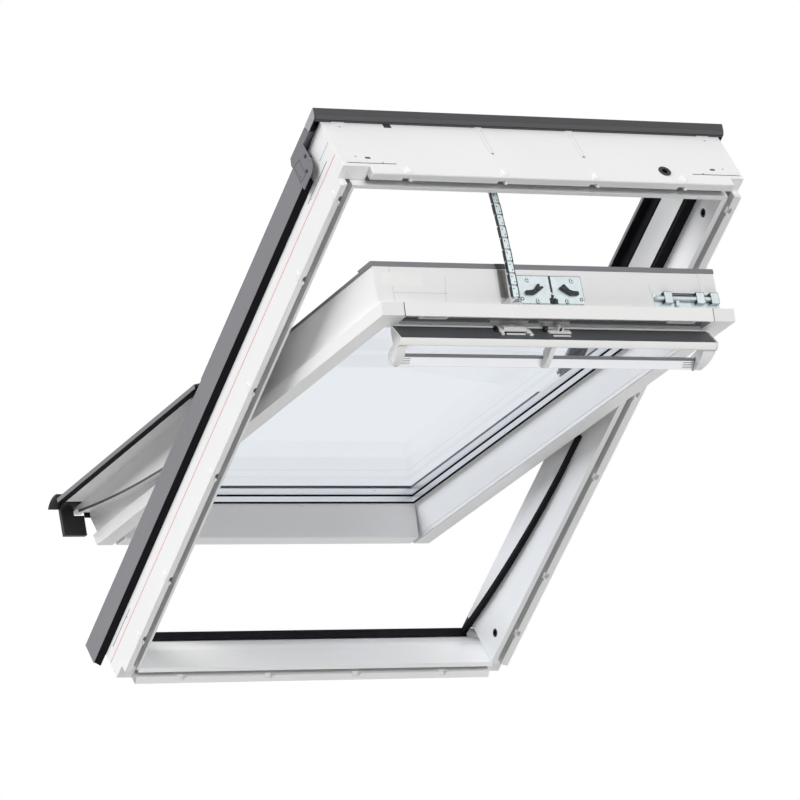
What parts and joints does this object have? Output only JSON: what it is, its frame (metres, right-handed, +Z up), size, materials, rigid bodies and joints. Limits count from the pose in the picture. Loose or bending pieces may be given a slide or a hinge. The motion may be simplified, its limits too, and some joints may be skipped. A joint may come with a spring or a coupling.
{
  "type": "roof skylight",
  "caption": "Centre-pivot roof skylight in its own frame, with a double-glazed sash held open by a powered chain and a ventilation flap worked by a control bar.",
  "frame": {"origin": "middle of the frame's bottom outer face, level in Y with the front of the corner blocks", "axes": "+X to the right as seen from the room, +Y outward through the roof, +Z up the slope of the roof"},
  "size_m": [0.8058, 0.6138, 1.2223],
  "materials": {
    "white_body": "smooth white coating over a moulded core",
    "white_plastic": "smooth white",
    "grey_plastic": "mid grey",
    "dark_plastic": "dark grey",
    "black_seal": "black, matt",
    "grey_cladding": "satin grey coated sheet",
    "dark_cladding": "satin dark grey coated sheet",
    "bare_aluminium": "satin",
    "zinc_steel": "bright zinc plated",
    "dark_steel": "dark passivated",
    "glass_pane": "clear",
    "filter_foam": "grey foam",
    "board": "green laminate"
  },
  "bodies": {
    "frame": {"frame_left": "white_body", "frame_right": "white_body", "frame_top": "white_body", "frame_bottom": "white_body", "corner_blocks": "white_body", "sash_seal": "black_seal", "sill_seal": "black_seal", "bolt_bushes": "dark_plastic", "lining_clips": "grey_plastic", "cable_grommet": "dark_plastic", "side_claddings": "grey_cladding", "upper_claddings": "grey_cladding", "hood": "dark_cladding", "hood_caps": "dark_cladding", "hood_screws": "zinc_steel", "flashing_seals": "black_seal", "drive_case": "dark_plastic", "drive_cover": "dark_plastic", "drive_motor": "zinc_steel", "control_board": "board", "chain_guide": "dark_plastic", "lock_keeper": "dark_plastic", "frame_hinges": "zinc_steel", "hinge_pins": "zinc_steel", "chain": "zinc_steel"},
    "sash": {"blind_brackets": "white_plastic", "bolt_base": "zinc_steel", "bottom_skirt": "dark_plastic", "chain_bracket": "zinc_steel", "glazing_bead": "bare_aluminium", "glazing_gasket": "black_seal", "inner_pane": "glass_pane", "lock_case": "zinc_steel", "lock_plate": "zinc_steel", "lock_screws": "zinc_steel", "outer_pane": "glass_pane", "pane_spacer": "bare_aluminium", "sash_bottom": "white_body", "sash_cladding_bottom": "grey_cladding", "sash_cladding_left": "grey_cladding", "sash_cladding_right": "grey_cladding", "sash_cladding_top": "grey_cladding", "sash_hinges": "zinc_steel", "sash_left": "white_body", "sash_right": "white_body", "sash_side_seals": "black_seal", "sash_top": "white_body", "skirt_ends": "dark_plastic", "vent_filter": "filter_foam", "vent_strip": "grey_plastic"},
    "flap": {"flap_plate": "dark_cladding", "flap_front": "white_plastic", "handle_bar": "bare_aluminium", "bar_brackets": "white_plastic", "flap_levers": "grey_plastic"},
    "claw_left": {"lock_claw_left": "dark_steel"},
    "claw_right": {"lock_claw_right": "dark_steel"},
    "bolt": {"barrel_bolt": "zinc_steel"},
    "sprocket": {"drive_sprocket": "zinc_steel"}
  },
  "joints": [
    {"name": "sash_pivot", "type": "hinge", "parent": "frame", "child": "sash", "pos_m": [0, 0.1257, 0.589], "axis": [1, 0, 0], "range_deg": [-26.2, 0], "deforming": ["chain"]},
    {"name": "flap_hinge", "type": "hinge", "parent": "sash", "child": "flap", "pos_m": [0, -0.18343, 0.99436], "axis": [1, 0, 0], "range_deg": [-52, 0]},
    {"name": "claw_left_turn", "type": "hinge", "parent": "sash", "child": "claw_left", "pos_m": [-0.03, -0.14262, 1.03986], "axis": [0, -0.4415, 0.8973], "range_deg": [-24, 24]},
    {"name": "claw_right_turn", "type": "hinge", "parent": "sash", "child": "claw_right", "pos_m": [0.034, -0.14262, 1.03986], "axis": [0, -0.4415, 0.8973], "range_deg": [-24, 24]},
    {"name": "bolt_slide", "type": "slide", "parent": "sash", "child": "bolt", "axis": [1, 0, 0], "range_m": [0, 0.02]},
    {"name": "sprocket_spin", "type": "hinge", "parent": "frame", "child": "sprocket", "pos_m": [-0.088, 0.084, 1.1575], "axis": [1, 0, 0], "range_deg": [-1210, 1210]}
  ],
  "couplings": [
    {"joint": "claw_left_turn", "follows": "flap_hinge", "ratio": -0.42},
    {"joint": "claw_right_turn", "follows": "flap_hinge", "ratio": 0.42},
    {"joint": "sprocket_spin", "follows": "sash_pivot", "ratio": 46}
  ]
}
